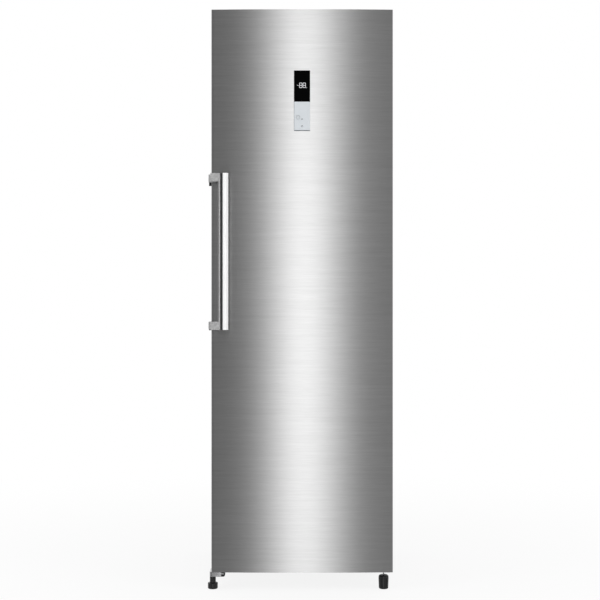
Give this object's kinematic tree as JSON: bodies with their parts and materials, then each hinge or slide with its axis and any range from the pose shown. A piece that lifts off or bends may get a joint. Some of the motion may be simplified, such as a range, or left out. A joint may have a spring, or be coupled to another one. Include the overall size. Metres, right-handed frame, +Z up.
{
  "type": "upright freezer",
  "caption": "Tall free-standing freezer with one full-height brushed steel door, a lever handle, see-through drawers and two flap compartments.",
  "frame": {"origin": "on the floor, below the middle of the width and of the whole depth, handle included", "axes": "+Z up, +Y towards the wall behind the freezer, +X to the right seen from the front"},
  "size_m": [0.6085, 0.71, 1.911],
  "materials": {
    "painted_steel": "satin grey paint",
    "door_steel": "stainless sheet with fine level grain",
    "zinc_steel": "zinc-plated sheet",
    "black_steel": "black enamel",
    "foam": "rigid foam",
    "white_liner": "vacuum-formed white plastic",
    "white_plastic": "moulded white plastic",
    "grey_plastic": "moulded grey plastic",
    "black_plastic": "moulded black plastic",
    "nylon": "natural nylon",
    "gasket": "soft grey seal",
    "rubber": "black rubber",
    "display": "glossy black window",
    "touch": "glossy silver foil",
    "board": "circuit board",
    "polished": "polished",
    "satin": "satin",
    "cast_grey": "fine blasted texture",
    "clear": "see-through frosted blue-white",
    "glass": "clear float glass",
    "aluminium": "bare",
    "copper": "bare copper",
    "lamp": "milky lens"
  },
  "bodies": {
    "cabinet": {"cabinet_wrap": "painted_steel", "base_pan": "zinc_steel", "back_panel": "zinc_steel", "insulation_foam": "foam", "inner_liner": "white_liner", "upper_hinge": "zinc_steel", "hinge_cover": "grey_plastic", "lower_hinge": "zinc_steel", "foot_bracket": "zinc_steel", "bracket_cap": "black_plastic", "compressor_plate": "zinc_steel", "roller_axles": "zinc_steel", "compressor_mounts": "rubber", "compressor": "black_steel", "relay_cover": "black_plastic", "drip_tray": "white_plastic", "control_box": "white_plastic", "refrigerant_pipes": "copper", "filter_drier": "copper", "machine_cover": "zinc_steel", "mains_inlet": "black_plastic", "wall_spacers": "grey_plastic", "air_duct_cover": "white_plastic", "evaporator": "aluminium", "defrost_heater": "aluminium", "fan_shroud": "white_plastic", "fan_motor": "grey_plastic", "led_lamp": "lamp", "glass_shelves": "glass", "cabinet_screws": "zinc_steel"},
    "door": {"door_skin": "door_steel", "door_top_cap": "grey_plastic", "door_bottom_cap": "grey_plastic", "hinge_bushes": "nylon", "door_foam": "foam", "door_liner": "white_liner", "door_gasket": "gasket", "display_window": "display", "touch_panel": "touch", "display_board": "board", "control_housing": "grey_plastic", "handle_mounts": "cast_grey", "handle_pivots": "zinc_steel", "pusher_guides": "black_plastic"},
    "handle": {"handle_bar": "polished", "handle_rail": "satin", "handle_arms": "cast_grey"},
    "pushers": {"handle_pushers": "cast_grey"},
    "drawer_1": {"drawer_1": "clear"},
    "drawer_2": {"drawer_2": "clear"},
    "drawer_3": {"drawer_3": "clear"},
    "drawer_4": {"drawer_4": "clear"},
    "drawer_5": {"drawer_5": "clear"},
    "flap_1": {"flap_1": "clear"},
    "flap_2": {"flap_2": "clear"},
    "fan": {"fan_blade": "grey_plastic"},
    "roller_left": {"roller_left": "black_plastic"},
    "roller_right": {"roller_right": "black_plastic"},
    "foot_left": {"foot_left": "black_plastic"},
    "foot_right": {"foot_right": "black_plastic"}
  },
  "joints": [
    {"name": "door_hinge", "type": "hinge", "parent": "cabinet", "child": "door", "pos_m": [0.281, -0.271, 0], "axis": [0, 0, 1], "range_deg": [0, 110]},
    {"name": "handle_pull", "type": "hinge", "parent": "door", "child": "handle", "pos_m": [-0.288, -0.309, 0], "axis": [0, 0, -1], "range_deg": [0, 18], "stiffness_Nm_per_rad": 2, "springref_deg": -11.46},
    {"name": "pusher_slide", "type": "slide", "parent": "door", "child": "pushers", "axis": [0, 1, 0], "range_m": [0, 0.0045]},
    {"name": "drawer_1_slide", "type": "slide", "parent": "cabinet", "child": "drawer_1", "axis": [0, -1, 0], "range_m": [0, 0.018]},
    {"name": "drawer_2_slide", "type": "slide", "parent": "cabinet", "child": "drawer_2", "axis": [0, -1, 0], "range_m": [0, 0.018]},
    {"name": "drawer_3_slide", "type": "slide", "parent": "cabinet", "child": "drawer_3", "axis": [0, -1, 0], "range_m": [0, 0.018]},
    {"name": "drawer_4_slide", "type": "slide", "parent": "cabinet", "child": "drawer_4", "axis": [0, -1, 0], "range_m": [0, 0.018]},
    {"name": "drawer_5_slide", "type": "slide", "parent": "cabinet", "child": "drawer_5", "axis": [0, -1, 0], "range_m": [0, 0.018]},
    {"name": "flap_1_tip", "type": "hinge", "parent": "cabinet", "child": "flap_1", "pos_m": [0, -0.197, 1.443], "axis": [1, 0, 0], "range_deg": [0, 5]},
    {"name": "flap_2_tip", "type": "hinge", "parent": "cabinet", "child": "flap_2", "pos_m": [0, -0.197, 1.647], "axis": [1, 0, 0], "range_deg": [0, 5]},
    {"name": "fan_spin", "type": "hinge", "parent": "cabinet", "child": "fan", "pos_m": [0, 0.2445, 0.67], "axis": [0, 1, 0], "continuous": true},
    {"name": "roller_left_spin", "type": "hinge", "parent": "cabinet", "child": "roller_left", "pos_m": [-0.2425, 0.319, 0.022], "axis": [1, 0, 0], "continuous": true},
    {"name": "roller_right_spin", "type": "hinge", "parent": "cabinet", "child": "roller_right", "pos_m": [0.2425, 0.319, 0.022], "axis": [1, 0, 0], "continuous": true},
    {"name": "foot_left_screw", "type": "hinge", "parent": "cabinet", "child": "foot_left", "pos_m": [-0.2945, -0.261, 0], "axis": [0, 0, 1], "continuous": true},
    {"name": "foot_right_screw", "type": "hinge", "parent": "cabinet", "child": "foot_right", "pos_m": [0.2695, -0.261, 0], "axis": [0, 0, 1], "continuous": true}
  ],
  "couplings": [
    {"joint": "pusher_slide", "follows": "handle_pull", "m_per_rad": 0.014}
  ]
}
